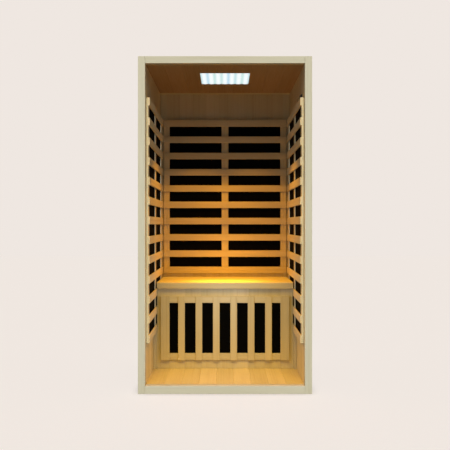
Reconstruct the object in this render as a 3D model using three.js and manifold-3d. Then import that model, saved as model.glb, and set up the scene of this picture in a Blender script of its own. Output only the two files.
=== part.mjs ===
// Open-fronted infrared sauna cabin for one person, in millimetres.
// +Z is up, the open front faces -Y, and the origin is on the ground under the middle of the cabin.
import * as THREE from 'three';
import { mergeVertices } from 'three/addons/utils/BufferGeometryUtils.js';
import Module from 'manifold-3d';

const wasm = await Module();
wasm.setup();

// Cabin
const WIDTH = 980;
const DEPTH = 900;
const HEIGHT = 1900;
const FIT = 0.3; // gap between pieces that rest on each other
const EASE = 1.5; // broken edge of slats, stiles and rails

// Wall and roof panels: a core between two skins of boards, with a solid post along two edges
const CORE = 22;
const SKIN = 9;
const POST = 45;
const BOARD = 95;
const GROOVE_WIDTH = 3;
const GROOVE_DEPTH = 1.5;

// Floor panel
const FLOOR_CORE = 33;
const FLOOR_SKIN = 12;
const FLOOR_BOARD = 100;

// Heater guards on the walls: flat slats let into upright stiles
const SLAT_HEIGHT = 45;
const SLAT = 8;
const STILE = 13;
const STILE_WIDTH = 45;
const LET_IN = 1;
const SIDE_SLATS = 13;
const SIDE_GUARD_LIFT = 231; // floor to the lowest side slat
const GUARD_HEADROOM = 183; // highest slats to the ceiling
const SIDE_GUARD_SETBACK = 49; // front of the cabin to the side guard
const CORNER_GAP = 11; // end of the side guard to the face of the back guard
const BACK_SLATS = 10;
const BACK_STILE_WIDTH = 40;
const BACK_GUARD_GAP = 3; // end of a back slat to the side guard

// Heater plates
const HEATER = 6;
const HEATER_RIM = 14;
const HEATER_FIELD_DEPTH = 1;
const HEATER_CLEARANCE = 2;

// Bench
const SEAT_HEIGHT = 544; // floor to the top of the seat
const SEAT_GAP = 26; // top of the seat to the lowest back slat
const SEAT_BOARD = 20;
const SEAT_BOARD_WIDTH = 105;
const SEAT_BATTEN = 22;
const SEAT_BATTEN_WIDTH = 45;
const SEAT_DEPTH = 438;
const SEAT_CLEARANCE = 1; // seat to the side guards and to the back wall
const NOSING = 20;
const NOSING_ROUND = 6;
const SEAT_OVERHANG = 22; // front of the seat to the bench panel
const BENCH_PANEL = 15;
const PANEL_BATTEN = 16;
const PANEL_BATTEN_DEPTH = 25;
const SUPPORT = 25;
const CABLE_NOTCH = 60;

// Bench guard
const BENCH_RAIL = 42;
const BENCH_SLAT_WIDTH = 42;
const BENCH_SLAT_PITCH = 109.5;
const BENCH_SLATS = 6;
const BENCH_END_WIDTH = 56;
const BENCH_GUARD_INSET = 24; // side guard to the end of the bench guard
const BENCH_GUARD_LIFT = 55; // floor to the lower rail
const BENCH_GUARD_DROP = 46; // underside of the seat to the upper rail

// Ceiling light
const LENS_SIZE = 300;
const LENS_PLATE = 3;
const FLUTES = 7;
const FLUTE_RISE = 3;
const FLUTE_STEPS = 6;
const LIGHT_SETBACK = 240; // front of the cabin to the lens
const LIGHT_SHEET = 1.7;
const LIGHT_DEPTH = 29;
const LENS_LEDGE = 5;
const LENS_DEPTH = 7; // rim of the light to the ledge that stops the lens
const LED_BOARD = 1.6;
const LED_STRIP_WIDTH = 9;
const LED_STRIP = 3;
const LED_MARGIN = 10;

// Touch panel on the right wall
const CONTROL_LENGTH = 165;
const CONTROL_HEIGHT = 32;
const CONTROL_HOUSING = 7;
const CONTROL_GLASS = 3;
const CONTROL_BORDER = 2;
const CONTROL_SETBACK = 126; // front of the cabin to the panel
const CONTROL_LIFT = 3; // top of the side guard to the panel

// Supply box on the roof
const BOX_WIDTH = 300;
const BOX_DEPTH = 180;
const BOX_HEIGHT = 50;
const BOX_ROUND = 8;
const BOX_LID = 6;
const BOX_LIP = 2;
const BOX_SETBACK = 120; // back of the cabin to the box
const GLAND_RADIUS = 12;
const GLAND_NECK = 9;
const GLAND_FLANGE = 5;
const GLAND_LENGTH = 24;
const GLAND_SIDES = 16;

// Levels and faces that several pieces share
const PANEL = CORE + 2 * SKIN;
const FRONT = -DEPTH / 2;
const ROOM = WIDTH / 2 - PANEL;
const ROOM_BACK = DEPTH / 2 - PANEL;
const FLOOR = FLOOR_CORE + FLOOR_SKIN;
const CEILING = HEIGHT - PANEL;
const GUARD = STILE + SLAT;
const GUARD_FACE = ROOM - GUARD;
const BACK_GUARD_FACE = ROOM_BACK - GUARD;
const SEAT_TOP = FLOOR + SEAT_HEIGHT;
const GUARD_BOTTOM = FLOOR + SIDE_GUARD_LIFT;
const GUARD_TOP = CEILING - GUARD_HEADROOM;
const GUARD_HEIGHT = GUARD_TOP - GUARD_BOTTOM;
const BACK_GUARD_BOTTOM = SEAT_TOP + SEAT_GAP;
const BACK_GUARD_HEIGHT = GUARD_TOP - BACK_GUARD_BOTTOM;
const SIDE_GUARD_FRONT = FRONT + SIDE_GUARD_SETBACK;
const SIDE_GUARD_BACK = BACK_GUARD_FACE - CORNER_GAP;
const SIDE_GUARD_LENGTH = SIDE_GUARD_BACK - SIDE_GUARD_FRONT;
const SIDE_GUARD_MIDDLE = (SIDE_GUARD_FRONT + SIDE_GUARD_BACK) / 2;
const BACK_GUARD_HALF = GUARD_FACE - BACK_GUARD_GAP;
const SEAT_THICK = SEAT_BOARD + SEAT_BATTEN;
const SEAT_UNDER = SEAT_TOP - SEAT_THICK;
const SEAT_HALF = GUARD_FACE - SEAT_CLEARANCE;
const SEAT_BACK = ROOM_BACK - SEAT_CLEARANCE;
const SEAT_FRONT = SEAT_BACK - SEAT_DEPTH;
const BENCH_FACE = SEAT_FRONT + SEAT_OVERHANG;
const BENCH_GUARD_HALF = GUARD_FACE - BENCH_GUARD_INSET;
const BENCH_GUARD_BOTTOM = FLOOR + BENCH_GUARD_LIFT;
const BENCH_GUARD_TOP = SEAT_UNDER - BENCH_GUARD_DROP;
const LIGHT_OUTER = LENS_SIZE + 2 * LIGHT_SHEET;
const LIGHT_HOLE = LIGHT_OUTER + 2 * FIT;
const LIGHT_MIDDLE = FRONT + LIGHT_SETBACK + LENS_SIZE / 2;
const QUARTER = Math.PI / 2;
const ARC_STEPS = 5;

// Finishes
const finish = (color, roughness, metalness = 0) =>
  new THREE.MeshStandardMaterial({ color, roughness, metalness });
const FRAME_WOOD = finish('#ccc6a7', 0.6);
const BOARD_WOOD = finish('#cdb98a', 0.6);
const SLAT_WOOD = finish('#cfb384', 0.55);
const BENCH_WOOD = finish('#d2b786', 0.5);
const HEATER_BLACK = finish('#080807', 0.85);
const LIGHT_WHITE = finish('#eef1f1', 0.4);
const LENS_WHITE = finish('#e2f2f4', 0.3);
const LED_GREEN = finish('#dfe6df', 0.6);
const CONTROL_BLACK = finish('#111112', 0.35);
const BOX_GREY = finish('#b9bcbc', 0.45, 0.4);
const GLAND_BLACK = finish('#1a1a1a', 0.6);

// Axes of a prism drawn on its end: outline X and Y become cabin Y and Z, and its length lies along X
const ALONG_X = new THREE.Matrix4().makeBasis(
  new THREE.Vector3(0, 1, 0),
  new THREE.Vector3(0, 0, 1),
  new THREE.Vector3(1, 0, 0),
);

function prism(shape, length) {
  const geometry = new THREE.ExtrudeGeometry(shape, {
    depth: length,
    bevelEnabled: false,
    curveSegments: ARC_STEPS,
  });
  return geometry.translate(0, 0, -length / 2);
}

function easedOutline(width, height) {
  const x = width / 2;
  const y = height / 2;
  const corners = [
    [EASE - x, -y], [x - EASE, -y], [x, EASE - y], [x, y - EASE],
    [x - EASE, y], [EASE - x, y], [-x, y - EASE], [-x, EASE - y],
  ];
  return new THREE.Shape(corners.map((corner) => new THREE.Vector2(...corner)));
}

function roundedOutline(width, height, radius) {
  const x = width / 2 - radius;
  const y = height / 2 - radius;
  const shape = new THREE.Shape();
  shape.absarc(x, y, radius, 0, QUARTER);
  shape.absarc(-x, y, radius, QUARTER, 2 * QUARTER);
  shape.absarc(-x, -y, radius, 2 * QUARTER, 3 * QUARTER);
  shape.absarc(x, -y, radius, 3 * QUARTER, 4 * QUARTER);
  return shape;
}

// A bar standing along Z or lying along X, with its edges broken
const standing = (width, thickness, length) => prism(easedOutline(width, thickness), length);
const lying = (length, thickness, height) =>
  prism(easedOutline(thickness, height), length).applyMatrix4(ALONG_X);

// Boards side by side along X, standing along Z, with V-grooves on the -Y face
function boards(width, thickness, length, boardWidth) {
  const count = Math.round(width / boardWidth);
  const face = -thickness / 2;
  const shape = new THREE.Shape();
  shape.moveTo(-width / 2, face);
  for (let i = 1; i < count; i += 1) {
    const x = (i / count - 0.5) * width;
    shape.lineTo(x - GROOVE_WIDTH / 2, face);
    shape.lineTo(x, face + GROOVE_DEPTH);
    shape.lineTo(x + GROOVE_WIDTH / 2, face);
  }
  shape.lineTo(width / 2, face);
  shape.lineTo(width / 2, -face);
  shape.lineTo(-width / 2, -face);
  return prism(shape, length);
}

// Solids for cutting and joining
function solid(geometry) {
  const plain = geometry.clone();
  plain.deleteAttribute('normal');
  plain.deleteAttribute('uv');
  const merged = mergeVertices(plain);
  const vertProperties = merged.attributes.position.array;
  const triVerts = Uint32Array.from(merged.index.array);
  return new wasm.Manifold(new wasm.Mesh({ numProp: 3, vertProperties, triVerts }));
}

const block = (width, depth, height, x, y, z) =>
  solid(new THREE.BoxGeometry(width, depth, height).translate(x, y, z));

function surface(body) {
  const mesh = body.getMesh();
  const geometry = new THREE.BufferGeometry();
  geometry.setAttribute('position', new THREE.BufferAttribute(mesh.vertProperties, 3));
  geometry.setIndex(new THREE.BufferAttribute(mesh.triVerts, 1));
  geometry.computeVertexNormals();
  return geometry;
}

function put(parent, name, geometry, material, x, y, z, turn = 0) {
  const mesh = new THREE.Mesh(geometry, material);
  mesh.name = name;
  mesh.position.set(x, y, z);
  mesh.rotation.z = turn;
  parent.add(mesh);
  return mesh;
}

// Core of a panel with a full-depth post along both upright edges.
// The room face is at Y = 0 and the outside is towards +Y; a skin lies in each recess.
function coreWithPosts(width, length, roomSkin, core, outerSkin) {
  const thick = roomSkin + core + outerSkin;
  const inner = roomSkin + FIT;
  const outer = outerSkin > 0 ? thick - outerSkin - FIT : thick;
  const edge = width / 2;
  const web = edge - POST;
  const shape = new THREE.Shape();
  shape.moveTo(-edge, 0);
  shape.lineTo(-web, 0);
  shape.lineTo(-web, inner);
  shape.lineTo(web, inner);
  shape.lineTo(web, 0);
  shape.lineTo(edge, 0);
  shape.lineTo(edge, thick);
  if (outerSkin > 0) {
    shape.lineTo(web, thick);
    shape.lineTo(web, outer);
    shape.lineTo(-web, outer);
    shape.lineTo(-web, thick);
  }
  shape.lineTo(-edge, thick);
  return prism(shape, length);
}

// One wall panel: its room face is at Y = 0 of the group and X runs across it
function wallPanel(side, width) {
  const group = new THREE.Group();
  const skinWidth = width - 2 * POST - 2 * FIT;
  const middle = HEIGHT / 2;
  const core = coreWithPosts(width, HEIGHT, SKIN, CORE, SKIN);
  const skin = () => boards(skinWidth, SKIN, HEIGHT, BOARD);
  put(group, `${side}_wall_frame`, core, FRAME_WOOD, 0, 0, middle);
  put(group, `${side}_inner_cladding`, skin(), BOARD_WOOD, 0, SKIN / 2, middle);
  put(group, `${side}_outer_cladding`, skin(), BOARD_WOOD, 0, PANEL - SKIN / 2, middle, Math.PI);
  return group;
}

function heaterPlate(width, height) {
  const fieldWidth = width - 2 * HEATER_RIM;
  const fieldHeight = height - 2 * HEATER_RIM;
  const plate = solid(standing(width, HEATER, height));
  return surface(plate.subtract(
    block(fieldWidth, 2 * HEATER_FIELD_DEPTH, fieldHeight, 0, -HEATER / 2, 0),
  ));
}

// Ladder of slats on three stiles, with its wall face at Y = 0 and its foot at Z = 0.
// The middle stile is thinner, because the heater plate passes behind it.
function sideGuard() {
  const stileAt = (x, back) => {
    const thickness = STILE - back;
    const stile = standing(STILE_WIDTH, thickness, GUARD_HEIGHT);
    return solid(stile.translate(x, -back - thickness / 2, GUARD_HEIGHT / 2));
  };
  const end = (SIDE_GUARD_LENGTH - STILE_WIDTH) / 2;
  let ladder = stileAt(-end, FIT).add(stileAt(end, FIT)).add(stileAt(0, HEATER + 2 * FIT));
  const slatDepth = SLAT + LET_IN;
  const pitch = (GUARD_HEIGHT - SLAT_HEIGHT) / (SIDE_SLATS - 1);
  for (let i = 0; i < SIDE_SLATS; i += 1) {
    const slat = lying(SIDE_GUARD_LENGTH, slatDepth, SLAT_HEIGHT);
    slat.translate(0, slatDepth / 2 - GUARD, SLAT_HEIGHT / 2 + i * pitch);
    ladder = ladder.add(solid(slat));
  }
  return surface(ladder);
}

// A side wall with its heater and guard; along is +1 where the group's X runs to the back of the cabin
function sideWall(side, along) {
  const group = wallPanel(side, DEPTH);
  const heaterWidth = SIDE_GUARD_LENGTH - 2 * STILE_WIDTH - 2 * HEATER_CLEARANCE;
  const heater = heaterPlate(heaterWidth, GUARD_HEIGHT - 2 * HEATER_CLEARANCE);
  const middle = along * SIDE_GUARD_MIDDLE;
  const heaterMiddle = (GUARD_BOTTOM + GUARD_TOP) / 2;
  put(group, `${side}_heater`, heater, HEATER_BLACK, middle, -FIT - HEATER / 2, heaterMiddle);
  put(group, `${side}_guard`, sideGuard(), SLAT_WOOD, middle, 0, GUARD_BOTTOM);
  group.position.x = -along * ROOM;
  group.rotation.z = along * QUARTER;
  return group;
}

// The touch panel lies on the room face of the right wall, just above the guard
function addControl(group) {
  const x = -(FRONT + CONTROL_SETBACK + CONTROL_LENGTH / 2);
  const z = GUARD_TOP + CONTROL_LIFT + CONTROL_HEIGHT / 2;
  const housing = lying(CONTROL_LENGTH, CONTROL_HOUSING, CONTROL_HEIGHT);
  const glassLength = CONTROL_LENGTH - 2 * CONTROL_BORDER;
  const glassHeight = CONTROL_HEIGHT - 2 * CONTROL_BORDER;
  const glass = prism(roundedOutline(glassLength, glassHeight, CONTROL_BORDER), CONTROL_GLASS);
  glass.rotateX(QUARTER);
  const face = -FIT - CONTROL_HOUSING;
  put(group, 'control_housing', housing, CONTROL_BLACK, x, face + CONTROL_HOUSING / 2, z);
  put(group, 'control_glass', glass, CONTROL_BLACK, x, face - FIT - CONTROL_GLASS / 2, z);
}

// Back wall with two heater plates and a guard of separate stiles and slats
function backWall() {
  const group = wallPanel('back', 2 * (ROOM - FIT));
  group.position.y = ROOM_BACK;
  const middle = (BACK_GUARD_BOTTOM + GUARD_TOP) / 2;
  const outer = BACK_GUARD_HALF - BACK_STILE_WIDTH / 2;
  const stiles = [['left', -outer, BACK_STILE_WIDTH], ['middle', 0, STILE_WIDTH],
    ['right', outer, BACK_STILE_WIDTH]];
  const stileDepth = STILE - FIT;
  for (const [place, x, width] of stiles) {
    const stile = standing(width, stileDepth, BACK_GUARD_HEIGHT);
    put(group, `back_guard_stile_${place}`, stile, SLAT_WOOD, x, -FIT - stileDepth / 2, middle);
  }
  const slatDepth = SLAT - FIT;
  const pitch = (BACK_GUARD_HEIGHT - SLAT_HEIGHT) / (BACK_SLATS - 1);
  for (let i = 0; i < BACK_SLATS; i += 1) {
    const slat = lying(2 * BACK_GUARD_HALF, slatDepth, SLAT_HEIGHT);
    const z = GUARD_TOP - SLAT_HEIGHT / 2 - i * pitch;
    put(group, `back_guard_slat_${i + 1}`, slat, SLAT_WOOD, 0, slatDepth / 2 - GUARD, z);
  }
  const near = STILE_WIDTH / 2 + HEATER_CLEARANCE;
  const far = BACK_GUARD_HALF - BACK_STILE_WIDTH - HEATER_CLEARANCE;
  for (const [place, hand] of [['left', -1], ['right', 1]]) {
    const heater = heaterPlate(far - near, BACK_GUARD_HEIGHT - 2 * HEATER_CLEARANCE);
    const x = hand * (near + far) / 2;
    put(group, `back_heater_${place}`, heater, HEATER_BLACK, x, -FIT - HEATER / 2, middle);
  }
  return group;
}

// Roof panel between the walls. In the group, X runs to the back, Y up from the ceiling and Z across.
function roof() {
  const group = new THREE.Group();
  group.applyMatrix4(ALONG_X);
  const width = 2 * (ROOM - FIT);
  const depth = ROOM_BACK - FIT - FRONT;
  const middle = FRONT + depth / 2;
  const skinDepth = depth - 2 * POST - 2 * FIT;
  const hole = block(LIGHT_HOLE, 2 * LIGHT_DEPTH, LIGHT_HOLE, LIGHT_MIDDLE - middle, 0, 0);
  const core = solid(coreWithPosts(depth, width, SKIN, CORE, SKIN)).subtract(hole);
  const ceiling = boards(width, SKIN, skinDepth, BOARD).rotateY(QUARTER).translate(0, SKIN / 2, 0);
  const cover = boards(width, SKIN, skinDepth, BOARD).rotateY(QUARTER).rotateX(Math.PI);
  put(group, 'roof_frame', surface(core), FRAME_WOOD, middle, CEILING, 0);
  put(group, 'ceiling_cladding', surface(solid(ceiling).subtract(hole)), BOARD_WOOD, middle, CEILING, 0);
  put(group, 'roof_cover', cover, BOARD_WOOD, middle, HEIGHT - SKIN / 2, 0);
  return group;
}

// Floor panel between the walls. In the group, X runs to the back and Y down from the floor.
function floor() {
  const group = new THREE.Group();
  const toBack = new THREE.Vector3(0, 1, 0);
  const down = new THREE.Vector3(0, 0, -1);
  const across = new THREE.Vector3(-1, 0, 0);
  group.applyMatrix4(new THREE.Matrix4().makeBasis(toBack, down, across));
  const width = 2 * (ROOM - FIT);
  const depth = ROOM_BACK - FIT - FRONT;
  const middle = FRONT + depth / 2;
  const core = coreWithPosts(depth, width, FLOOR_SKIN, FLOOR_CORE, 0);
  const skinDepth = depth - 2 * POST - 2 * FIT;
  const skin = boards(width, FLOOR_SKIN, skinDepth, FLOOR_BOARD).rotateY(QUARTER);
  put(group, 'floor_frame', core, FRAME_WOOD, middle, -FLOOR, 0);
  put(group, 'floor_boards', skin, BOARD_WOOD, middle, FLOOR_SKIN / 2 - FLOOR, 0);
  return group;
}

// Bench seat: boards along X with a round-edged nosing, on two battens. It pulls out to the front.
function benchSeat() {
  const group = new THREE.Group();
  const width = 2 * SEAT_HALF;
  const nosingShape = new THREE.Shape();
  const front = -NOSING / 2;
  const top = SEAT_THICK / 2;
  const turn = top - NOSING_ROUND;
  nosingShape.moveTo(-front, -top);
  nosingShape.lineTo(-front, top);
  nosingShape.absarc(front + NOSING_ROUND, turn, NOSING_ROUND, QUARTER, 2 * QUARTER);
  nosingShape.absarc(front + NOSING_ROUND, -turn, NOSING_ROUND, 2 * QUARTER, 3 * QUARTER);
  const nosing = prism(nosingShape, width).applyMatrix4(ALONG_X);
  put(group, 'seat_nosing', nosing, BENCH_WOOD, 0, SEAT_FRONT + NOSING / 2, SEAT_TOP - top);
  const start = SEAT_FRONT + NOSING + FIT;
  const depth = SEAT_BACK - start;
  const middle = start + depth / 2;
  const topBoards = boards(depth, SEAT_BOARD, width, SEAT_BOARD_WIDTH);
  topBoards.rotateX(-QUARTER).rotateZ(QUARTER);
  put(group, 'seat_boards', topBoards, BENCH_WOOD, 0, middle, SEAT_TOP - SEAT_BOARD / 2);
  const battenHeight = SEAT_BATTEN - FIT;
  const battenZ = SEAT_UNDER + battenHeight / 2;
  for (const [place, hand] of [['left', -1], ['right', 1]]) {
    const batten = lying(depth, SEAT_BATTEN_WIDTH, battenHeight);
    const x = hand * (SEAT_HALF - SEAT_BATTEN_WIDTH / 2);
    put(group, `seat_batten_${place}`, batten, BENCH_WOOD, x, middle, battenZ, QUARTER);
  }
  return group;
}

// Bench base: a board panel notched round the side guards, with supports behind it that carry the seat
function benchBase() {
  const group = new THREE.Group();
  const bottom = FLOOR + FIT;
  const top = SEAT_UNDER - FIT;
  const height = top - bottom;
  const middle = (top + bottom) / 2;
  const face = BENCH_FACE + BENCH_PANEL / 2;
  let panel = solid(boards(2 * (ROOM - FIT), BENCH_PANEL, height, BOARD));
  const notchWidth = 2 * (ROOM - SEAT_HALF);
  const notchZ = GUARD_BOTTOM - FIT - middle + height / 2;
  for (const hand of [-1, 1]) {
    panel = panel.subtract(block(notchWidth, 2 * BENCH_PANEL, height, hand * ROOM, 0, notchZ));
  }
  put(group, 'bench_panel', surface(panel), BOARD_WOOD, 0, face, middle);
  const supportFront = BENCH_FACE + BENCH_PANEL + FIT;
  const supportDepth = ROOM_BACK - FIT - supportFront;
  const x = supportDepth / 2;
  const z = height / 2;
  const supportShape = new THREE.Shape();
  supportShape.moveTo(-x, -z);
  supportShape.lineTo(x - CABLE_NOTCH, -z);
  supportShape.absarc(x, -z, CABLE_NOTCH, 2 * QUARTER, QUARTER, true);
  supportShape.lineTo(x, z);
  supportShape.lineTo(-x, z);
  const battenHeight = GUARD_BOTTOM - FIT - bottom;
  for (const [place, hand] of [['left', -1], ['right', 1]]) {
    const support = prism(supportShape, SUPPORT).applyMatrix4(ALONG_X);
    const supportX = hand * (SEAT_HALF - SUPPORT / 2);
    put(group, `bench_support_${place}`, support, BOARD_WOOD, supportX, supportFront + x, middle);
    const batten = standing(PANEL_BATTEN, PANEL_BATTEN_DEPTH, battenHeight);
    const battenX = hand * (ROOM - FIT - PANEL_BATTEN / 2);
    const battenY = BENCH_FACE - FIT - PANEL_BATTEN_DEPTH / 2;
    put(group, `panel_batten_${place}`, batten, FRAME_WOOD, battenX, battenY, bottom + battenHeight / 2);
  }
  return group;
}

// Guard on the bench panel: two rails, with upright slats over them and a heater plate between
function benchGuard() {
  const group = new THREE.Group();
  const height = BENCH_GUARD_TOP - BENCH_GUARD_BOTTOM;
  const middle = (BENCH_GUARD_TOP + BENCH_GUARD_BOTTOM) / 2;
  const railDepth = STILE - FIT;
  const railY = BENCH_FACE - FIT - railDepth / 2;
  const railZ = (height - BENCH_RAIL) / 2;
  for (const [place, hand] of [['bottom', -1], ['top', 1]]) {
    const rail = lying(2 * BENCH_GUARD_HALF, railDepth, BENCH_RAIL);
    put(group, `bench_guard_rail_${place}`, rail, SLAT_WOOD, 0, railY, middle + hand * railZ);
  }
  const slatDepth = SLAT - FIT;
  const slatY = BENCH_FACE - GUARD + slatDepth / 2;
  const last = BENCH_SLATS + 1;
  for (let i = 0; i <= last; i += 1) {
    const atEnd = i === 0 || i === last;
    const width = atEnd ? BENCH_END_WIDTH : BENCH_SLAT_WIDTH;
    const end = Math.sign(i - last / 2) * (BENCH_GUARD_HALF - BENCH_END_WIDTH / 2);
    const x = atEnd ? end : (i - last / 2) * BENCH_SLAT_PITCH;
    put(group, `bench_guard_slat_${i + 1}`, standing(width, slatDepth, height), SLAT_WOOD, x, slatY, middle);
  }
  const heaterWidth = 2 * (BENCH_GUARD_HALF - BENCH_END_WIDTH / 2);
  const heater = heaterPlate(heaterWidth, height - 2 * BENCH_RAIL - 2 * HEATER_CLEARANCE);
  put(group, 'bench_heater', heater, HEATER_BLACK, 0, BENCH_FACE - FIT - HEATER / 2, middle);
  return group;
}

// Ceiling light: a white tray in the ceiling, a board of light strips and a fluted lens
function ceilingLight() {
  const group = new THREE.Group();
  group.position.set(0, LIGHT_MIDDLE, CEILING);
  const clear = LENS_SIZE - 2 * LENS_LEDGE;
  const lensRoom = block(LENS_SIZE, LENS_SIZE, 2 * LENS_DEPTH, 0, 0, 0);
  const roomHeight = 2 * (LIGHT_DEPTH - LIGHT_SHEET);
  const tray = block(LIGHT_OUTER, LIGHT_OUTER, LIGHT_DEPTH, 0, 0, LIGHT_DEPTH / 2)
    .subtract(lensRoom)
    .subtract(block(clear, clear, roomHeight, 0, 0, 0));
  put(group, 'light_housing', surface(tray), LIGHT_WHITE, 0, 0, 0);
  const boardSize = clear - 2 * FIT;
  const boardZ = LIGHT_DEPTH - LIGHT_SHEET - FIT - LED_BOARD / 2;
  const pitch = LENS_SIZE / FLUTES;
  const stripLength = boardSize - 2 * LED_MARGIN;
  const stripHeight = LED_STRIP + LED_BOARD;
  let ledBoard = block(boardSize, boardSize, LED_BOARD, 0, 0, 0);
  for (let i = 0; i < FLUTES; i += 1) {
    const x = (i - (FLUTES - 1) / 2) * pitch;
    const strip = block(LED_STRIP_WIDTH, stripLength, stripHeight, x, 0, LED_BOARD / 2 - stripHeight / 2);
    ledBoard = ledBoard.add(strip);
  }
  put(group, 'led_board', surface(ledBoard), LED_GREEN, 0, 0, boardZ);
  const lensSize = LENS_SIZE - 2 * FIT;
  const lensTop = LENS_DEPTH - FIT;
  const plateUnder = lensTop - LENS_PLATE;
  const lensShape = new THREE.Shape();
  lensShape.moveTo(lensSize / 2, lensTop);
  lensShape.lineTo(-lensSize / 2, lensTop);
  const steps = FLUTES * FLUTE_STEPS;
  for (let i = 0; i <= steps; i += 1) {
    const swell = Math.sin(Math.PI * (i % FLUTE_STEPS) / FLUTE_STEPS);
    lensShape.lineTo((i / steps - 0.5) * lensSize, plateUnder - FLUTE_RISE * swell);
  }
  const lens = prism(lensShape, lensSize).applyMatrix4(ALONG_X).rotateZ(-QUARTER);
  put(group, 'light_lens', lens, LENS_WHITE, 0, 0, 0);
  return group;
}

// Supply box on the roof, with the cord gland in its back
function supplyBox() {
  const group = new THREE.Group();
  const back = DEPTH / 2 - BOX_SETBACK;
  const bottom = HEIGHT + FIT;
  const body = prism(roundedOutline(BOX_WIDTH, BOX_DEPTH, BOX_ROUND), BOX_HEIGHT);
  const lidOutline = roundedOutline(BOX_WIDTH + 2 * BOX_LIP, BOX_DEPTH + 2 * BOX_LIP, BOX_ROUND + BOX_LIP);
  const lid = prism(lidOutline, BOX_LID).translate(0, 0, BOX_HEIGHT / 2);
  const box = surface(solid(body).add(solid(lid)));
  put(group, 'power_box', box, BOX_GREY, 0, back - BOX_DEPTH / 2, bottom + BOX_HEIGHT / 2);
  const profile = [
    [0, 0], [GLAND_RADIUS, 0], [GLAND_RADIUS, GLAND_FLANGE], [GLAND_NECK, GLAND_FLANGE],
    [GLAND_NECK, GLAND_LENGTH - GLAND_FLANGE], [GLAND_NECK / 2, GLAND_LENGTH], [0, GLAND_LENGTH],
  ];
  const gland = new THREE.LatheGeometry(profile.map((p) => new THREE.Vector2(...p)), GLAND_SIDES);
  put(group, 'cord_gland', gland, GLAND_BLACK, 0, back + FIT, bottom + BOX_HEIGHT / 2);
  return group;
}

const cabin = new THREE.Group();
const rightWall = sideWall('right', -1);
addControl(rightWall);
cabin.add(sideWall('left', 1), rightWall, backWall(), roof(), floor());
cabin.add(benchSeat(), benchBase(), benchGuard(), ceilingLight(), supplyBox());

export default cabin;
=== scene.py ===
"""Looks of an open-fronted infrared sauna cabin for one person, in metres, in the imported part's frame."""

import math

import bmesh
import bpy
from mathutils import Matrix, Vector


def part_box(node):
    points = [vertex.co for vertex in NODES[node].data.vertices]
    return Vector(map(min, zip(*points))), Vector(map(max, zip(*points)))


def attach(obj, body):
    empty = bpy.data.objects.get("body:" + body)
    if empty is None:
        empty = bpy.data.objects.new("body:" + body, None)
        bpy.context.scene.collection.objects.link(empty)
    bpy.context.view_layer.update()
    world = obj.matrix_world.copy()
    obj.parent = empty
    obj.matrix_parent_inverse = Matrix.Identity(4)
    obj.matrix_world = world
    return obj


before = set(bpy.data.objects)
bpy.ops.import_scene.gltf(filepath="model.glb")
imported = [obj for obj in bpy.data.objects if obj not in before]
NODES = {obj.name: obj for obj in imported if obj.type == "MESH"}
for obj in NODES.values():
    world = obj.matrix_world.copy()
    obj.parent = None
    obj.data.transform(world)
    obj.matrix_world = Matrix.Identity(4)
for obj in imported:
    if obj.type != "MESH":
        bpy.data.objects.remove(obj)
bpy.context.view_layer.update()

# Nodes by where they lie: on the outside only, in the frame round the opening, and on the back wall
SKIN_NODES = [n for n in NODES if n.endswith("_outer_cladding")]
SKIN_NODES += ["roof_frame", "roof_cover", "power_box", "cord_gland"]
SHELL_NODES = SKIN_NODES + [n for n in NODES if n.endswith("_wall_frame")] + ["floor_frame"]
BACK_NODES = [n for n in NODES if n.startswith("back_")]

# Camera, from the perspective of the photograph
CAMERA_PLACE = (0.0, -4.027, 0.954)
CAMERA_LENS = 50.9
CAMERA_SENSOR = 36.0
CAMERA_SHIFT_Y = -0.0015

# Studio: colours are linear
BACKDROP = (0.863, 0.799, 0.753)
AMBIENT = (0.074, 0.068, 0.056)
GROUND_COLOR = (0.560, 0.518, 0.489)
GROUND_LIGHT = 0.688  # light that open ground receives, as a share of full white
GROUND_HALF = 15.0
GROUND_DROP = 0.0005
GROUND_GRAIN = 60.0
GROUND_TONES = (0.97, 1.03)

# Suns, with 1.0 for a sun that shows a surface facing it in its own colour
SUN_FULL = math.pi
SUN_ANGLE = math.radians(25)
TOP_SUN_ANGLE = math.radians(3)  # sharp, so that the ground is only shaded at the foot of the cabin
SUN_DISTANCE = 4.0
# Where each sun stands, in degrees: azimuth, 0 in front of the cabin and 90 at its right, and elevation
FRONT_FROM = (0, 15)
SIDE_FROM = (95, 8)
BACK_FROM = (180, 8)
TOP_FROM = (0, 90)
ENDS_FROM = (0, 5)
ROOM_FROM = (0, 54)
ROOM_FILL_FROM = (30, 22)
WALL_FROM = (60, 50)
SIDES = (("left", -1), ("right", 1))
WHITE = (1.0, 1.0, 1.0)
FRONT_SUN = 0.80
ENDS_SUN = 0.537
SIDE_SUN = 0.62
BACK_SUN = 0.70
TOP_SUN = 0.62
ROOM_SUN = 0.66
ROOM_SUN_COLOR = (1.0, 0.60, 0.03)
ROOM_FILL_SUN = 0.060
WALL_SUN = 0.34
WALL_SUN_COLOR = (1.0, 0.58, 0.15)

# Lamps in the room: watts, places from the pieces they belong to, and sizes
GLOW_COLOR = (1.0, 0.41, 0.008)
POOL_COLOR = (1.0, 0.36, 0.045)
CEILING_WATTS = 30.8
CEILING_CONE = math.radians(86)
WASH_WATTS = 20.0
WASH_CONE = math.radians(84.6)
WASH_SPREAD = 0.18
CEILING_EDGE = 0.3
CEILING_RADIUS = 0.03
CEILING_DROP = 0.02
GLOW_WATTS = 1.65
GLOW_SIZE = (0.25, 0.25)
GLOW_HEIGHT = 0.35
GLOW_SETBACK = 0.09
POOL_WATTS = 1.40
POOL_SIZE = (0.50, 0.14)
POOL_HEIGHT = 0.10
POOL_SETBACK = 0.075
FOOT_WATTS = 1.6
FOOT_RADIUS = 0.08
FOOT_PLACE = (0.0, -0.38, 0.50)

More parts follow.
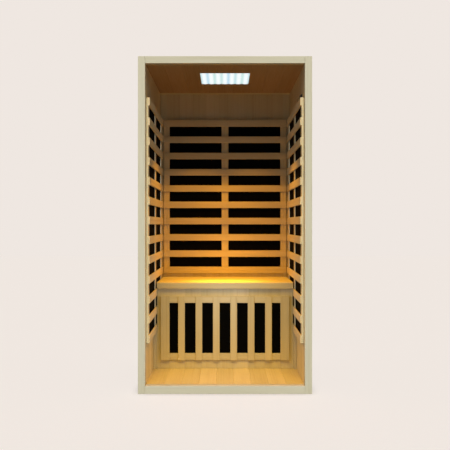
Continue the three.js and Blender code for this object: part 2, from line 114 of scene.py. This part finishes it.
# Wood, as linear colours: early wood, late wood, and the darkening of edges, which is wear on handled edges
# and painted shade in the grooves between boards
FRAME_EARLY = (0.635, 0.590, 0.412)
FRAME_LATE = (0.480, 0.400, 0.235)
BOARD_EARLY = (0.635, 0.565, 0.385)
BOARD_LATE = (0.480, 0.375, 0.210)
# Ceiling boards much darker than the wall boards: painted shade of the upper room under the roof
CEILING_SHADED_EARLY = (0.370, 0.250, 0.125)
CEILING_SHADED_LATE = (0.280, 0.175, 0.080)
# Wood patterns: changes per metre along and across the grain
CLOUD_GRAIN = (1.2, 9.0)
RING_GRAIN = (0.7, 75.0)
FIBRE_GRAIN = (5.0, 420.0)
GRAIN_SHIFT = 31.0  # metres that the grain of one board may lie ahead of the next
ROW_STEP = 17.0  # board numbers from one row of boards to the next
# Ranges that a pattern is spread over: from low and high, to low and high
RING_SHARE = (0.50, 0.76, 0.0, 0.36)
FIBRE_SHARE = (0.45, 0.75, 0.0, 0.24)
CLOUD_TONE = (0.3, 0.7, 0.95, 1.04)
BLUE_POWER = 1.5  # darker wood is also yellower
FIBRE_HEIGHT = 0.6
RING_HEIGHT = 0.4
WOOD_ROUGH = (0.3, 0.7, 0.46, 0.66)
EDGE_POLISH = 0.10
WOOD_BUMP = 0.35
WOOD_SPECULAR = 0.35
BUMP_DEPTH = 0.0004
EDGE_SOFT = 0.0012
SHARP_ANGLE = math.radians(50)
WELD_REACH = 0.00002
EDGE_WIDTH = 0.0025
# darkening along edges and grooves: wear on handled edges, painted shade in the grooves between boards
EDGE_WEAR_AND_GROOVE_SHADE = (0.66, 0.58, 0.46)
EDGE_SHARE = 0.22
BOARD_TONES = (0.93, 1.05)
FRAME_TONES = (0.985, 1.015)
X, Y, Z = 0, 1, 2

# Boards: widths, and rows that have no box of their own, as axis, start and pitch
BOARD_WIDTH = 0.095
FLOOR_BOARD_WIDTH = 0.100
SEAT_BOARD_WIDTH = 0.105
POST_START, POST_PITCH = -2.0, 0.30
GUARD_STILE_ROW = (Y, -0.5, 0.12)
BACK_STILE_ROW = (X, -0.9, 0.30)
BENCH_RAIL_ROW = (Z, 0.0, 0.25)
BENCH_SLAT_ROW = (X, -0.43825, 0.1095)
BATTEN_ROW = (X, -0.6, 0.6)
SUPPORT_ROW = (X, -0.6, 0.15)
GUARD_SLAT_DEPTH = 0.0088  # face of a side guard to where its stiles begin
GUARD_ROW_DROP = 0.034  # foot of a side guard to the start of its lowest row
CLADDING_SEED = 5.0  # from the seed of a frame to the seed of its boards
STILE_SEED = 40.0  # from the seed of the slats to the seed of their stiles

# Heater plates: weave and dust per metre, and black that the dust greys
HEATER_WEAVE = 1600.0
HEATER_DUST = 18.0
HEATER_THREAD = 0.0003
HEATER_BLACK = (0.0006, 0.0006, 0.0005)
HEATER_DUSTY = (0.0030, 0.0029, 0.0025)
HEATER_ROUGH = (0.80, 0.95)
HEATER_SPECULAR = 0.03

# Coated and moulded pieces: clean and soiled colour, roughness and strength of the orange peel
LIGHT_WHITE = ((0.80, 0.82, 0.82), (0.70, 0.71, 0.70), 0.38, 0.2)
STRIP_BOARD_WHITE = ((0.72, 0.78, 0.72), (0.55, 0.62, 0.56), 0.55, 0.3)
CONTROL_BLACK = ((0.010, 0.010, 0.011), (0.018, 0.018, 0.018), 0.40, 0.3)
BOX_GREY = ((0.48, 0.50, 0.50), (0.40, 0.41, 0.40), 0.42, 0.5)
GLAND_BLACK = ((0.012, 0.012, 0.012), (0.03, 0.03, 0.028), 0.55, 0.4)
PEEL_GRAIN = 900.0
PEEL_DEPTH = 0.0002
SOIL_GRAIN = 14.0
COAT_EDGE = 0.0015

# Glass of the touch panel, and the lens of the ceiling light
FINGER_GRAIN = 45.0
GLASS_BLACK = (0.004, 0.004, 0.005)
GLASS_MARKED = (0.010, 0.010, 0.011)
LENS_FLUTES = 7
LENS_GRAIN = 30.0
LENS_BODY = (0.05, 0.06, 0.06)
LENS_BRIGHT = (0.90, 0.98, 1.0)
LENS_THIN_BLUE = (0.50, 0.72, 0.86)
LENS_THIN_GREEN = (0.58, 0.80, 0.76)

# Cross-head screws: sizes, the rings of points that a head is made of, and their rows on the side walls
SCREW_RADIUS = 0.0048
SCREW_RISE = 0.0018
SCREW_FLOOR = 0.0004  # height of the floor of the cross
SCREW_CROSS = 0.0028
SCREW_CROSS_WIDTH = 0.0006
SCREW_SIDES = 32
SCREW_RINGS = (0.08, 0.12, 0.14, 0.30, 0.45, 0.56, 0.60, 0.75, 0.88, 0.96, 1.0)
SCREW_TWIST = math.radians(37)
SCREW_ROWS = (0.15, 0.48, 0.81, 1.14, 1.47, 1.77)
SCREW_COLUMNS = (-0.36, -0.12, 0.12, 0.34)
LID_SCREW_INSET = 0.014
STEEL = (0.52, 0.51, 0.49)
STEEL_DULL = (0.36, 0.35, 0.33)
DULL_GRAIN = 220.0
TURNING_GRAIN = 2600.0
TURNING_DEPTH = 0.0001


class Graph:
    """Adds nodes to one node tree and joins their sockets."""

    def __init__(self, tree):
        self.tree = tree
        tree.nodes.clear()

    def add(self, kind, inputs=None, **settings):
        node = self.tree.nodes.new(kind)
        for key, value in settings.items():
            setattr(node, key, value)
        for key, value in (inputs or {}).items():
            self.plug(node.inputs[key], value)
        return node

    def plug(self, socket, value):
        if isinstance(value, bpy.types.NodeSocket):
            self.tree.links.new(value, socket)
        elif isinstance(value, tuple) and socket.type == "RGBA":
            socket.default_value = (*value, 1.0)
        else:
            socket.default_value = value

    def math(self, operation, a, b=0.0):
        return self.add("ShaderNodeMath", {0: a, 1: b}, operation=operation).outputs[0]

    def mix(self, share, a, b, blend="MIX"):
        node = self.add("ShaderNodeMix", data_type="RGBA", blend_type=blend)
        for name, value in (("Factor", share), ("A", a), ("B", b)):
            kind = "VALUE" if name == "Factor" else "RGBA"
            socket = next(s for s in node.inputs if s.name == name and s.type == kind)
            self.plug(socket, value)
        return next(s for s in node.outputs if s.type == "RGBA")

    def spread(self, value, low, high, to_low, to_high):
        inputs = {"Value": value, "From Min": low, "From Max": high, "To Min": to_low, "To Max": to_high}
        return self.add("ShaderNodeMapRange", inputs, clamp=True).outputs[0]

    def noise(self, vector, scale, detail=3.0, roughness=0.55):
        inputs = {"Vector": vector, "Scale": scale, "Detail": detail, "Roughness": roughness}
        return self.add("ShaderNodeTexNoise", inputs).outputs[0]

    def vector(self, x, y, z):
        return self.add("ShaderNodeCombineXYZ", {0: x, 1: y, 2: z}).outputs[0]

    def place(self):
        """Place on the piece in metres, as three sockets and as a vector."""
        vector = self.add("ShaderNodeTexCoord").outputs["Object"]
        parts = self.add("ShaderNodeSeparateXYZ", {0: vector})
        return list(parts.outputs), vector

    def random(self, value):
        return self.add("ShaderNodeTexWhiteNoise", {"W": value}, noise_dimensions="1D").outputs["Value"]

    def edges(self, radius):
        """1 along the edges of the piece and 0 on its flat faces."""
        soft = self.add("ShaderNodeBevel", {"Radius": radius}, samples=4).outputs[0]
        sharp = self.add("ShaderNodeNewGeometry").outputs["True Normal"]
        dot = self.add("ShaderNodeVectorMath", {0: soft, 1: sharp}, operation="DOT_PRODUCT").outputs["Value"]
        return self.spread(dot, 0.98, 0.75, 0.0, 1.0)

    def bump(self, strength, distance, height):
        inputs = {"Strength": strength, "Distance": distance, "Height": height}
        return self.add("ShaderNodeBump", inputs).outputs[0]

    def surface(self, color, rough, normal=None, extra=None):
        """Joins a principled surface to the material's output."""
        inputs = {"Base Color": color, "Roughness": rough, **(extra or {})}
        if normal is not None:
            inputs["Normal"] = normal
        self.finish(self.add("ShaderNodeBsdfPrincipled", inputs).outputs[0])

    def finish(self, shader):
        self.add("ShaderNodeOutputMaterial", {"Surface": shader})


def new_material(name):
    material = bpy.data.materials.new(name)
    material.use_nodes = True
    return material, Graph(material.node_tree)


def board_number(graph, place, boards):
    """Whole number of the board that a point is on, from the axis, start and pitch of each row of boards."""
    number = None
    for axis, start, pitch in boards:
        steps = graph.math("DIVIDE", graph.math("SUBTRACT", place[axis], start), pitch)
        whole = graph.math("FLOOR", steps)
        if number is not None:
            whole = graph.math("ADD", graph.math("MULTIPLY", number, ROW_STEP), whole)
        number = whole
    return 0.0 if number is None else number


def wood_along(graph, place, grain, number, early, late, seed, tones=BOARD_TONES):
    """Colour, roughness pattern and height of wood whose fibres run along one axis."""
    chance = graph.random(graph.math("ADD", number, seed))
    along = graph.math("ADD", place[grain], graph.math("MULTIPLY", chance, GRAIN_SHIFT))
    side, face = [place[axis] for axis in (X, Y, Z) if axis != grain]

    def pattern(scales, detail):
        length, width = scales
        stretched = graph.vector(
            graph.math("MULTIPLY", along, length),
            graph.math("MULTIPLY", side, width),
            graph.math("MULTIPLY", face, width),
        )
        return graph.noise(stretched, 1.0, detail)

    cloud = pattern(CLOUD_GRAIN, 2.0)
    ring = pattern(RING_GRAIN, 2.0)
    fibre = pattern(FIBRE_GRAIN, 3.0)
    lines = graph.spread(ring, *RING_SHARE)
    streaks = graph.spread(fibre, *FIBRE_SHARE)
    color = graph.mix(graph.math("ADD", lines, streaks), early, late)
    tone = graph.spread(chance, 0.0, 1.0, *tones)
    level = graph.math("MULTIPLY", tone, graph.spread(cloud, *CLOUD_TONE))
    tint = graph.vector(level, level, graph.math("POWER", level, BLUE_POWER))
    color = graph.mix(1.0, color, tint, "MULTIPLY")
    fine = graph.math("MULTIPLY", fibre, FIBRE_HEIGHT)
    coarse = graph.math("MULTIPLY", ring, RING_HEIGHT)
    return color, fibre, graph.math("ADD", fine, coarse)


def wood(name, grain, boards=(), early=BOARD_EARLY, late=BOARD_LATE, seed=0.0, tones=BOARD_TONES):
    """Planed softwood with straight grain along one axis, and a tone of its own for each board."""
    material, graph = new_material(name)
    place, _ = graph.place()
    number = board_number(graph, place, boards)
    color, fibre, height = wood_along(graph, place, grain, number, early, late, seed, tones)
    return wood_surface(material, graph, color, fibre, height)


def frame_wood(name, grain, seed, boards=()):
    """The paler wood of posts and frames, all from one batch."""
    return wood(name, grain, boards, FRAME_EARLY, FRAME_LATE, seed, FRAME_TONES)


def wood_surface(material, graph, color, fibre, height):
    """Planed surface, smoother and darker along edges and in the grooves between boards: the darkening is
    wear on handled edges and painted shade in the grooves and inner corners.
    """
    edge = graph.edges(EDGE_WIDTH)
    # the edge mask darkens handled edges as wear and grooves and inner corners of a piece as painted shade
    wear_and_groove_shade = graph.mix(1.0, color, EDGE_WEAR_AND_GROOVE_SHADE, "MULTIPLY")
    color = graph.mix(graph.math("MULTIPLY", edge, EDGE_SHARE), color, wear_and_groove_shade)
    rough = graph.spread(fibre, *WOOD_ROUGH)
    rough = graph.math("SUBTRACT", rough, graph.math("MULTIPLY", edge, EDGE_POLISH))
    bump = graph.bump(WOOD_BUMP, BUMP_DEPTH, height)
    graph.surface(color, rough, bump, {"Specular IOR Level": WOOD_SPECULAR})
    return material


def side_guard_wood(name, slat_edge, pitch, start, seed):
    """Side guards: slats run front to back in front of the stiles, which stand behind them."""
    material, graph = new_material(name)
    place, _ = graph.place()
    slat_number = board_number(graph, place, [(Z, start, pitch)])
    slat = wood_along(graph, place, Y, slat_number, BOARD_EARLY, BOARD_LATE, seed)
    stile_number = board_number(graph, place, [GUARD_STILE_ROW])
    stile = wood_along(graph, place, Z, stile_number, FRAME_EARLY, FRAME_LATE, seed + STILE_SEED)
    behind = graph.math("GREATER_THAN", graph.math("ABSOLUTE", place[X]), slat_edge)
    color = graph.mix(behind, slat[0], stile[0])
    fibre = graph.mix(behind, slat[1], stile[1])
    height = graph.mix(behind, slat[2], stile[2])
    return wood_surface(material, graph, color, fibre, height)


def heater_black(name):
    """Carbon heater plate: matt black sheet with a fine weave under its coating."""
    material, graph = new_material(name)
    place, vector = graph.place()
    weave = []
    for axis in (X, Y, Z):
        weave.append(graph.math("SINE", graph.math("MULTIPLY", place[axis], HEATER_WEAVE)))
    thread = graph.math("MULTIPLY", graph.math("ADD", weave[0], weave[1]), weave[2])
    dust = graph.noise(vector, HEATER_DUST, 5.0, 0.6)
    dusty = graph.math("ADD", dust, graph.math("MULTIPLY", thread, 0.06))
    color = graph.mix(graph.spread(dusty, 0.3, 0.8, 0.0, 1.0), HEATER_BLACK, HEATER_DUSTY)
    rough = graph.spread(dust, 0.3, 0.7, *HEATER_ROUGH)
    bump = graph.bump(0.3, HEATER_THREAD, thread)
    graph.surface(color, rough, bump, {"Specular IOR Level": HEATER_SPECULAR})
    return material


def coated(name, color, dark, roughness, peel):
    """Sprayed or moulded finish: fine orange peel, faint soiling and rubbed edges."""
    material, graph = new_material(name)
    _, vector = graph.place()
    grain = graph.noise(vector, PEEL_GRAIN, 2.0, 0.5)
    cloud = graph.noise(vector, SOIL_GRAIN, 4.0, 0.6)
    edge = graph.edges(COAT_EDGE)
    rubbed = tuple(min(1.0, 1.25 * c + 0.02) for c in color)
    tint = graph.mix(graph.spread(cloud, 0.35, 0.75, 0.0, 0.5), color, dark)
    tint = graph.mix(graph.math("MULTIPLY", edge, 0.3), tint, rubbed)
    rough = graph.spread(cloud, 0.3, 0.7, roughness - 0.06, roughness + 0.08)
    graph.surface(tint, rough, graph.bump(peel, PEEL_DEPTH, grain))
    return material


def touch_glass(name):
    """Black glass with faint finger marks that only dull its gloss."""
    material, graph = new_material(name)
    _, vector = graph.place()
    marks = graph.noise(vector, FINGER_GRAIN, 4.0, 0.65)
    rough = graph.spread(marks, 0.45, 0.75, 0.06, 0.24)
    color = graph.mix(graph.spread(marks, 0.4, 0.8, 0.0, 1.0), GLASS_BLACK, GLASS_MARKED)
    graph.surface(color, rough, extra={"Coat Weight": 0.6})
    return material


def lens_glow(name, start, pitch):
    """Fluted lens over light strips: white over each strip, and cool where the light is thin."""
    material, graph = new_material(name)
    place, vector = graph.place()
    turn = graph.math("DIVIDE", graph.math("SUBTRACT", place[X], start), pitch)
    swing = graph.math("COSINE", graph.math("MULTIPLY", graph.math("SUBTRACT", turn, 0.5), 2.0 * math.pi))
    cloud = graph.noise(vector, LENS_GRAIN, 3.0, 0.5)
    band = graph.math("ADD", swing, graph.math("MULTIPLY", graph.math("SUBTRACT", cloud, 0.5), 0.5))
    share = graph.spread(band, -1.0, 0.55, 0.0, 1.0)
    thin = graph.mix(graph.random(graph.math("ROUND", turn)), LENS_THIN_BLUE, LENS_THIN_GREEN)
    glow = graph.mix(share, thin, LENS_BRIGHT)
    rough = graph.spread(cloud, 0.3, 0.7, 0.25, 0.40)
    graph.surface(LENS_BODY, rough, extra={"Emission Color": glow, "Emission Strength": 1.0})
    return material


def ground_material():
    """Pale ground: it takes the shadow of the object, and the camera sees it in the backdrop's colour."""
    material, graph = new_material("ground")
    _, vector = graph.place()
    speck = graph.noise(vector, GROUND_GRAIN, 4.0, 0.6)
    dark, pale = (tuple(tone * c for c in GROUND_COLOR) for tone in GROUND_TONES)
    color = graph.mix(speck, dark, pale)
    cover = graph.add("ShaderNodeBsdfDiffuse", {"Color": color})
    rest = tuple(b - GROUND_LIGHT * g for b, g in zip(BACKDROP, GROUND_COLOR))
    glow = graph.add("ShaderNodeEmission", {"Color": rest, "Strength": seen_rays(graph)})
    graph.finish(graph.add("ShaderNodeAddShader", {0: cover.outputs[0], 1: glow.outputs[0]}).outputs[0])
    return material


def seen_rays(graph):
    """1 for rays of the camera, also by way of glossy or clear surfaces, and 0 for light on objects."""
    path = graph.add("ShaderNodeLightPath").outputs
    seen = graph.math("MAXIMUM", path["Is Camera Ray"], path["Is Glossy Ray"])
    return graph.math("MAXIMUM", seen, path["Is Transmission Ray"])


def make_world():
    world = bpy.data.worlds.new("studio")
    bpy.context.scene.world = world
    world.use_nodes = True
    graph = Graph(world.node_tree)
    color = graph.mix(seen_rays(graph), AMBIENT, BACKDROP)
    sky = graph.add("ShaderNodeBackground", {"Color": color, "Strength": 1.0})
    graph.add("ShaderNodeOutputWorld", {"Surface": sky.outputs[0]})


def make_ground():
    mesh = bpy.data.meshes.new("ground")
    half = GROUND_HALF
    corners = [(-half, -half), (half, -half), (half, half), (-half, half)]
    mesh.from_pydata([(x, y, -GROUND_DROP) for x, y in corners], [], [(0, 1, 2, 3)])
    ground = bpy.data.objects.new("ground", mesh)
    ground.data.materials.append(ground_material())
    ground.visible_diffuse = False
    bpy.context.scene.collection.objects.link(ground)
    return ground


def make_camera():
    data = bpy.data.cameras.new("camera")
    data.lens = CAMERA_LENS
    data.sensor_width = CAMERA_SENSOR
    data.shift_y = CAMERA_SHIFT_Y
    camera = bpy.data.objects.new("camera", data)
    camera.location = CAMERA_PLACE
    camera.rotation_euler = (math.radians(90), 0.0, 0.0)
    bpy.context.scene.collection.objects.link(camera)
    bpy.context.scene.camera = camera


def group_of(name, objects, state):
    """Collection that a lamp lights alone, or leaves out."""
    group = bpy.data.collections.new(name)
    for item in objects:
        group.objects.link(item)
    for entry in group.collection_objects:
        entry.light_linking.link_state = state
    return group


def add_lamp(kind, name, place, aim, color, power, receivers=None):
    data = bpy.data.lights.new(name, kind)
    data.color = color
    data.energy = power
    lamp = bpy.data.objects.new(name, data)
    lamp.location = place
    lamp.rotation_euler = Vector(aim).to_track_quat("-Z", "Y").to_euler()
    lamp.visible_camera = False
    bpy.context.scene.collection.objects.link(lamp)
    if receivers is not None:
        lamp.light_linking.receiver_collection = receivers
    return lamp


def add_sun(name, stand, strength, receivers, color=WHITE, hand=1):
    """Sun that stands at an azimuth and an elevation, or with a hand of -1 at the mirrored azimuth."""
    turn, rise = math.radians(hand * stand[0]), math.radians(stand[1])
    source = Vector((math.sin(turn) * math.cos(rise), -math.cos(turn) * math.cos(rise), math.sin(rise)))
    lamp = add_lamp("SUN", name, SUN_DISTANCE * source, -source, color, strength * SUN_FULL, receivers)
    lamp.data.angle = SUN_ANGLE
    return lamp


def add_spot(name, place, cone, watts, receivers):
    lamp = add_lamp("SPOT", name, place, (0, 0, -1), GLOW_COLOR, watts, receivers)
    lamp.data.spot_size = cone
    lamp.data.spot_blend = CEILING_EDGE
    lamp.data.shadow_soft_size = CEILING_RADIUS


def add_oval(name, place, size, color, watts, receivers):
    lamp = add_lamp("AREA", name, place, (0, 0, -1), color, watts, receivers)
    lamp.data.shape = "ELLIPSE"
    lamp.data.size, lamp.data.size_y = size


def make_suns(ground):
    """Studio light on the outside, and steep warm suns that reach the floor, the bench and the walls."""
    shell = [NODES[n] for n in SHELL_NODES]
    faced = [NODES[n] for n in SHELL_NODES if n not in BACK_NODES]
    inside = [NODES[n] for n in NODES if n not in SHELL_NODES and n not in BACK_NODES]
    for piece in shell:
        if piece.name.endswith("_outer_cladding") or piece.name == "floor_frame":
            piece.visible_diffuse = False  # the lit outside throws no glow on the ground
    on_shell = group_of("lit_outside", shell, "INCLUDE")
    on_front = group_of("lit_in_front", faced, "INCLUDE")
    seat = [NODES[n] for n in NODES if n.startswith("seat_")]  # in the open when it is pulled out
    from_above = group_of("lit_from_above", shell + seat + [ground], "INCLUDE")
    on_ends = group_of("lit_guard_ends", [NODES["left_guard"], NODES["right_guard"]], "INCLUDE")
    in_room = group_of("lit_inside", inside, "INCLUDE")
    walls = [NODES["left_inner_cladding"], NODES["right_inner_cladding"]]
    on_walls = group_of("lit_walls", walls, "INCLUDE")
    add_sun("front_sun", FRONT_FROM, FRONT_SUN, on_front)
    add_sun("back_sun", BACK_FROM, BACK_SUN, on_shell)
    add_sun("top_sun", TOP_FROM, TOP_SUN, from_above).data.angle = TOP_SUN_ANGLE
    add_sun("ends_sun", ENDS_FROM, ENDS_SUN, on_ends)
    add_sun("room_sun", ROOM_FROM, ROOM_SUN, in_room, ROOM_SUN_COLOR)
    for side, hand in SIDES:
        add_sun(f"{side}_sun", SIDE_FROM, SIDE_SUN, on_shell, hand=hand)
        add_sun(f"room_fill_{side}", ROOM_FILL_FROM, ROOM_FILL_SUN, in_room, hand=hand)
        add_sun(f"wall_sun_{side}", WALL_FROM, WALL_SUN, on_walls, WALL_SUN_COLOR, hand)


def make_room_lamps():
    """The ceiling light, the glow on the seat and a little fill at the foot of the bench."""
    inside = [n for n in NODES if n not in SKIN_NODES]
    in_room = group_of("lit_in_room", [NODES[n] for n in inside], "INCLUDE")
    off_back = group_of("lit_off_back", [NODES[n] for n in inside if n not in BACK_NODES], "INCLUDE")
    on_back = group_of("lit_on_back", [NODES[n] for n in inside if n in BACK_NODES], "INCLUDE")
    low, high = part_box("light_lens")
    middle, depth, under = (low.x + high.x) / 2, (low.y + high.y) / 2, low.z - CEILING_DROP
    add_spot("ceiling_lamp", (middle, depth, under), CEILING_CONE, CEILING_WATTS, off_back)
    for side, hand in SIDES:
        place = (middle + hand * WASH_SPREAD, depth, under)
        add_spot(f"back_wash_{side}", place, WASH_CONE, WASH_WATTS, on_back)
    low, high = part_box("seat_nosing")
    glow = (0.0, low.y + GLOW_SETBACK, high.z + GLOW_HEIGHT)
    add_oval("seat_glow", glow, GLOW_SIZE, GLOW_COLOR, GLOW_WATTS, in_room)
    pool = (0.0, low.y + POOL_SETBACK, high.z + POOL_HEIGHT)
    add_oval("seat_pool", pool, POOL_SIZE, POOL_COLOR, POOL_WATTS, in_room)
    foot = add_lamp("POINT", "foot_fill", FOOT_PLACE, (0, 0, -1), WHITE, FOOT_WATTS, in_room)
    foot.data.shadow_soft_size = FOOT_RADIUS


def row(name, axis, width):
    """Row of boards across one axis of a node, as its axis, start and pitch."""
    low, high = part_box(name)
    count = max(1, round((high[axis] - low[axis]) / width))
    return axis, low[axis], (high[axis] - low[axis]) / count


def dress(names, material):
    for name in names:
        NODES[name].data.materials.clear()
        NODES[name].data.materials.append(material)


def dress_shell():
    for side, across, seed in (("left", Y, 12.0), ("right", Y, 14.0), ("back", X, 11.0)):
        post = [(across, POST_START, POST_PITCH)]
        dress([f"{side}_wall_frame"], frame_wood(f"{side}_post_wood", Z, seed, post))
        for skin in ("inner", "outer"):
            name = f"{side}_{skin}_cladding"
            boards = [row(name, across, BOARD_WIDTH)]
            dress([name], wood(f"{name}_wood", Z, boards, seed=seed + CLADDING_SEED))
    dress(["roof_frame"], frame_wood("roof_frame_wood", X, 12.0))
    dress(["floor_frame"], frame_wood("floor_frame_wood", X, 15.0))
    boards = [row("ceiling_cladding", X, BOARD_WIDTH)]
    # the ceiling's darker wood is painted shade
    dress(["ceiling_cladding"], wood("ceiling_shaded_wood", Y, boards, CEILING_SHADED_EARLY, CEILING_SHADED_LATE, 18.0))
    for name, width, seed in (("roof_cover", BOARD_WIDTH, 10.0), ("floor_boards", FLOOR_BOARD_WIDTH, 12.0)):
        dress([name], wood(f"{name}_wood", Y, [row(name, X, width)], seed=seed))


def dress_guards():
    slats = [n for n in NODES if n.startswith("back_guard_slat_")]
    low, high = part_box("back_guard_slat_10")
    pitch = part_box("back_guard_slat_9")[0].z - low.z
    start = low.z - (pitch - (high.z - low.z)) / 2
    dress(slats, wood("back_slat_wood", X, [(Z, start, pitch)], seed=21.0))
    stiles = [n for n in NODES if n.startswith("back_guard_stile_")]
    dress(stiles, wood("back_stile_wood", Z, [BACK_STILE_ROW], seed=24.0))
    for seed, name in ((31.0, "left_guard"), (36.0, "right_guard")):
        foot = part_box(name)[0].z
        slat_edge = min(abs(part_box(name)[0].x), abs(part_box(name)[1].x)) + GUARD_SLAT_DEPTH
        dress([name], side_guard_wood(f"{name}_wood", slat_edge, pitch, foot - GUARD_ROW_DROP, seed))
    rails = ["bench_guard_rail_bottom", "bench_guard_rail_top"]
    dress(rails, wood("bench_rail_wood", X, [BENCH_RAIL_ROW], seed=41.0))
    uprights = [n for n in NODES if n.startswith("bench_guard_slat_")]
    dress(uprights, wood("bench_slat_wood", Z, [BENCH_SLAT_ROW], seed=44.0))


def dress_bench():
    dress(["seat_boards"], wood("seat_wood", X, [row("seat_boards", Y, SEAT_BOARD_WIDTH)], seed=51.0))
    dress(["seat_nosing"], wood("nosing_wood", X, [], seed=53.0))
    dress(["seat_batten_left", "seat_batten_right"], wood("batten_wood", Y, [BATTEN_ROW], seed=55.0))
    dress(["bench_panel"], wood("bench_panel_wood", Z, [row("bench_panel", X, BOARD_WIDTH)], seed=57.0))
    supports = ["bench_support_left", "bench_support_right", "panel_batten_left", "panel_batten_right"]
    dress(supports, frame_wood("support_wood", Z, 59.0, [SUPPORT_ROW]))


def dress_fittings():
    heaters = [n for n in NODES if n.endswith("_heater") or n.startswith("back_heater_")]
    dress(heaters, heater_black("heater_black"))
    dress(["light_housing"], coated("light_white", *LIGHT_WHITE))
    low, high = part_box("light_lens")
    dress(["light_lens"], lens_glow("lens_glow", low.x, (high.x - low.x) / LENS_FLUTES))
    NODES["light_lens"].visible_diffuse = False  # the ceiling lamp stands for its light
    dress(["led_board"], coated("led_board_white", *STRIP_BOARD_WHITE))
    dress(["control_housing"], coated("control_black", *CONTROL_BLACK))
    dress(["control_glass"], touch_glass("control_glass"))
    dress(["power_box"], coated("box_grey", *BOX_GREY))
    dress(["cord_gland"], coated("gland_black", *GLAND_BLACK))


def soften_edges():
    """Joins the split corners of the square-edged solids and rounds their edges a little."""
    square = [n for n in NODES if n.endswith("_frame") or n.startswith("bench_support_")]
    for name in square + ["bench_panel", "power_box"]:
        weld = NODES[name].modifiers.new("weld", "WELD")
        weld.merge_threshold = WELD_REACH
        bevel = NODES[name].modifiers.new("bevel", "BEVEL")
        bevel.width = EDGE_SOFT
        bevel.segments = 2
        bevel.limit_method = "ANGLE"
        bevel.angle_limit = SHARP_ANGLE
        bevel.harden_normals = True


def screw_steel(name):
    """Zinc-plated steel with fine turning marks and dull patches."""
    material, graph = new_material(name)
    _, vector = graph.place()
    patch = graph.noise(vector, DULL_GRAIN, 4.0, 0.6)
    mark = graph.noise(vector, TURNING_GRAIN, 2.0, 0.5)
    color = graph.mix(graph.spread(patch, 0.35, 0.7, 0.0, 1.0), STEEL, STEEL_DULL)
    rough = graph.spread(patch, 0.3, 0.7, 0.24, 0.46)
    graph.surface(color, rough, graph.bump(0.2, TURNING_DEPTH, mark), {"Metallic": 1.0})
    return material


def screw_height(x, y):
    """Height of a screw head above the face it sits on: a low crown with a cross sunk into it."""
    long, short = max(abs(x), abs(y)), min(abs(x), abs(y))
    if short < SCREW_CROSS_WIDTH and long < SCREW_CROSS:
        return SCREW_FLOOR
    return SCREW_RISE * (1.0 - (math.hypot(x, y) / SCREW_RADIUS) ** 4)


def add_screws(name, places, outward, material):
    """Screws as one piece; each place is the middle of a head on a face that looks outward."""
    shape = bmesh.new()
    upright = Vector(outward).to_track_quat("Z", "Y").to_matrix().to_4x4()
    for number, place in enumerate(places):
        seat = Matrix.Translation(place) @ upright @ Matrix.Rotation(number * SCREW_TWIST, 4, "Z")
        rings = []
        for share in SCREW_RINGS:
            ring = []
            for step in range(SCREW_SIDES):
                turn = 2.0 * math.pi * step / SCREW_SIDES
                x, y = share * SCREW_RADIUS * math.cos(turn), share * SCREW_RADIUS * math.sin(turn)
                ring.append(shape.verts.new(seat @ Vector((x, y, screw_height(x, y)))))
            rings.append(ring)
        for inner, outer in zip(rings, rings[1:]):
            for step in range(SCREW_SIDES):
                after = (step + 1) % SCREW_SIDES
                shape.faces.new((inner[step], outer[step], outer[after], inner[after]))
        shape.faces.new(rings[0])
        shape.faces.new(list(reversed(rings[-1])))
    mesh = bpy.data.meshes.new(name)
    shape.to_mesh(mesh)
    shape.free()
    mesh.materials.append(material)
    piece = bpy.data.objects.new(name, mesh)
    bpy.context.scene.collection.objects.link(piece)
    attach(piece, "cabin")


def add_fasteners():
    """Screws that join the side walls to the other panels, and hold the lid of the supply box."""
    steel = screw_steel("screw_steel")
    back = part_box("back_wall_frame")
    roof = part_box("roof_frame")
    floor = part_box("floor_frame")
    behind = (back[0].y + back[1].y) / 2
    levels = [(roof[0].z + roof[1].z) / 2, (floor[0].z + floor[1].z) / 2]
    for side, hand in SIDES:
        face = hand * max(abs(corner.x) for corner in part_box(f"{side}_wall_frame"))
        places = [(face, behind, z) for z in SCREW_ROWS]
        places += [(face, y, z) for z in levels for y in SCREW_COLUMNS]
        add_screws(f"{side}_wall_screws", places, (hand, 0, 0), steel)
    low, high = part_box("power_box")
    inset = LID_SCREW_INSET
    corners = [(x, y) for x in (low.x + inset, high.x - inset) for y in (low.y + inset, high.y - inset)]
    add_screws("lid_screws", [(x, y, high.z) for x, y in corners], (0, 0, 1), steel)


def main():
    bpy.context.scene.view_settings.view_transform = "Standard"
    dress_shell()
    dress_guards()
    dress_bench()
    dress_fittings()
    soften_edges()
    add_fasteners()
    make_world()
    ground = make_ground()
    make_camera()
    make_suns(ground)
    make_room_lamps()


main()
